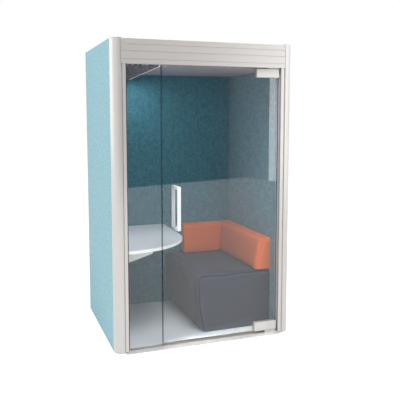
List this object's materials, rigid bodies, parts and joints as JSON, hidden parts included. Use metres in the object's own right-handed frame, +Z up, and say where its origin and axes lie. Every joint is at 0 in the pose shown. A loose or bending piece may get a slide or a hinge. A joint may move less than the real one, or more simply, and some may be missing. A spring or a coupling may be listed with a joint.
{
  "type": "acoustic office pod",
  "caption": "Free-standing upholstered office booth with a glazed front, a swinging glass door, a wall worktop, a cushioned bench and a ceiling fan.",
  "frame": {"origin": "on the floor, in the middle of the whole footprint, outer pull included", "axes": "+Z up, +Y from the glazed front to the back wall, +X to the right seen from the front"},
  "size_m": [1.4, 1.1404, 2.25],
  "materials": {
    "satin_aluminium": "satin anodised extrusion",
    "clear_glass": "clear toughened glass with polished edges",
    "outer_fabric": "light aqua wool felt over board",
    "inner_fabric": "teal mottled wool felt over board",
    "acoustic_core": "pressed fibre batt",
    "seat_fabric": "dark grey woven upholstery",
    "cushion_fabric": "orange woven upholstery",
    "dark_felt": "charcoal speckled acoustic felt board",
    "worktop_laminate": "pale laminate with a white edge",
    "white_coat": "white powder coat",
    "floor_covering": "pale grey sheet vinyl",
    "floor_board": "raw plywood",
    "ceiling_board": "light grey painted board",
    "roof_board": "grey faced board",
    "light_diffuser": "opal diffuser",
    "black_plastic": "moulded black plastic",
    "seal_rubber": "grey extruded seal",
    "steel": "machined steel"
  },
  "bodies": {
    "shell": {"left_front_post": "satin_aluminium", "left_post_cap": "satin_aluminium", "left_front_glide": "black_plastic", "right_front_post": "satin_aluminium", "right_post_cap": "satin_aluminium", "right_front_glide": "black_plastic", "front_header": "satin_aluminium", "front_threshold": "satin_aluminium", "left_glazing_channel": "satin_aluminium", "right_jamb_strip": "satin_aluminium", "jamb_seal": "seal_rubber", "fixed_glass": "clear_glass", "meeting_edge_seal": "seal_rubber", "left_outer_panel": "outer_fabric", "left_wall_core": "acoustic_core", "left_inner_panel": "inner_fabric", "left_rear_glide": "black_plastic", "right_outer_panel": "outer_fabric", "right_wall_core": "acoustic_core", "right_inner_panel": "inner_fabric", "right_rear_glide": "black_plastic", "back_outer_panel": "outer_fabric", "back_wall_core": "acoustic_core", "back_inner_panel": "inner_fabric", "floor_deck": "floor_board", "floor_covering": "floor_covering", "floor_bearer_front": "black_plastic", "floor_bearer_rear": "black_plastic", "ceiling_panel": "ceiling_board", "ventilation_baffle": "dark_felt", "light_strip": "light_diffuser", "baffle_rear_ledge": "satin_aluminium", "light_driver": "white_coat", "roof_panel": "roof_board", "mains_inlet": "black_plastic", "fan_housing": "black_plastic", "fan_guard": "steel", "top_pivot": "steel", "floor_pivot": "satin_aluminium", "header_door_stop": "white_coat", "worktop": "worktop_laminate", "worktop_front_bracket": "white_coat", "worktop_rear_bracket": "white_coat", "seat_block": "seat_fabric", "right_back_cushion": "cushion_fabric", "rear_back_cushion": "cushion_fabric"},
    "door": {"door_glass": "clear_glass", "door_sweep": "seal_rubber", "top_patch_core": "steel", "top_patch_outer_cover": "satin_aluminium", "top_patch_inner_cover": "satin_aluminium", "bottom_patch_core": "steel", "bottom_patch_outer_cover": "satin_aluminium", "bottom_patch_inner_cover": "satin_aluminium", "outer_pull": "white_coat", "inner_pull": "white_coat", "lower_pull_bolt": "steel", "upper_pull_bolt": "steel"},
    "fan": {"fan_rotor": "black_plastic"}
  },
  "joints": [
    {"name": "door_swing", "type": "hinge", "parent": "shell", "child": "door", "pos_m": [0.538, -0.49485, 1.05], "axis": [0, 0, 1], "range_deg": [0, 90]},
    {"name": "fan_spin", "type": "hinge", "parent": "shell", "child": "fan", "pos_m": [-0.47, 0.01015, 2.175], "axis": [0, 0, 1], "continuous": true}
  ]
}
